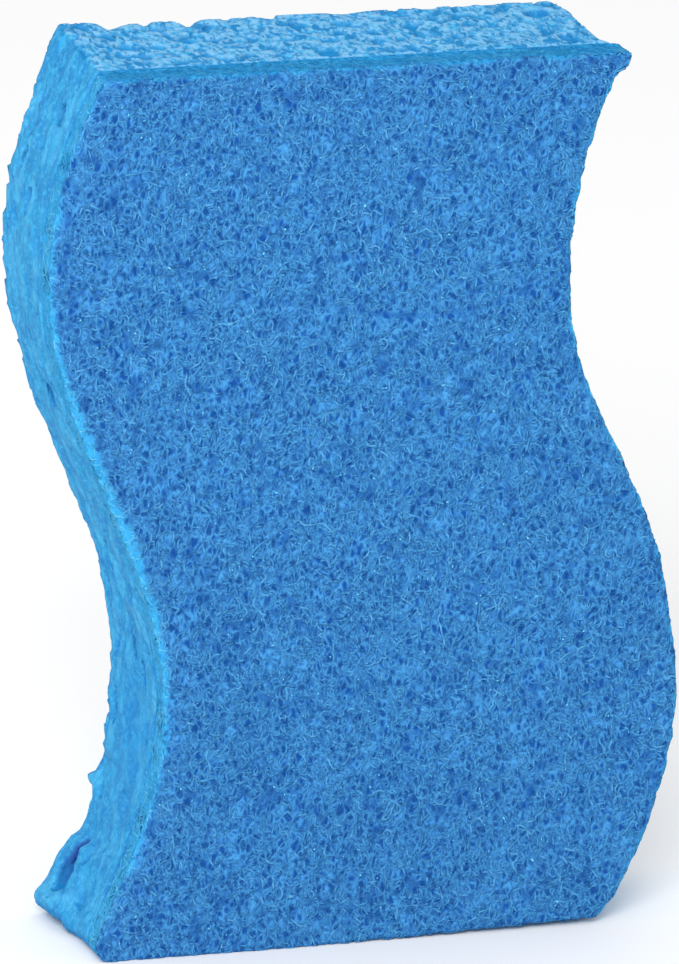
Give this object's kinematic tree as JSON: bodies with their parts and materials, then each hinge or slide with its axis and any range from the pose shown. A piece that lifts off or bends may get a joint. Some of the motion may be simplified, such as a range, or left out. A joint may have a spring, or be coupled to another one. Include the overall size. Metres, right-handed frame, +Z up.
{
  "type": "scrub sponge",
  "caption": "Wave-cut scrub sponge: a strip of cellulose sponge with parallel wavy sides, and a nonwoven scouring web bonded over its whole front face.",
  "frame": {"origin": "on the lower cut end, under the middle of the part's bounding box", "axes": "+Z up the length of the strip, +Y out of the sponge's back and away from the scouring pad, which faces -Y, +X to the right seen from the pad's side"},
  "size_m": [0.0824, 0.0204, 0.1118],
  "materials": {
    "blue_cellulose": "open-celled cellulose sponge, matt, light blue",
    "blue_scouring_web": "nonwoven web of crimped synthetic fibres bound with resin, matt with small glints, mid blue"
  },
  "bodies": {
    "root": {"cellulose_sponge": "blue_cellulose", "scouring_pad": "blue_scouring_web"}
  },
  "joints": []
}
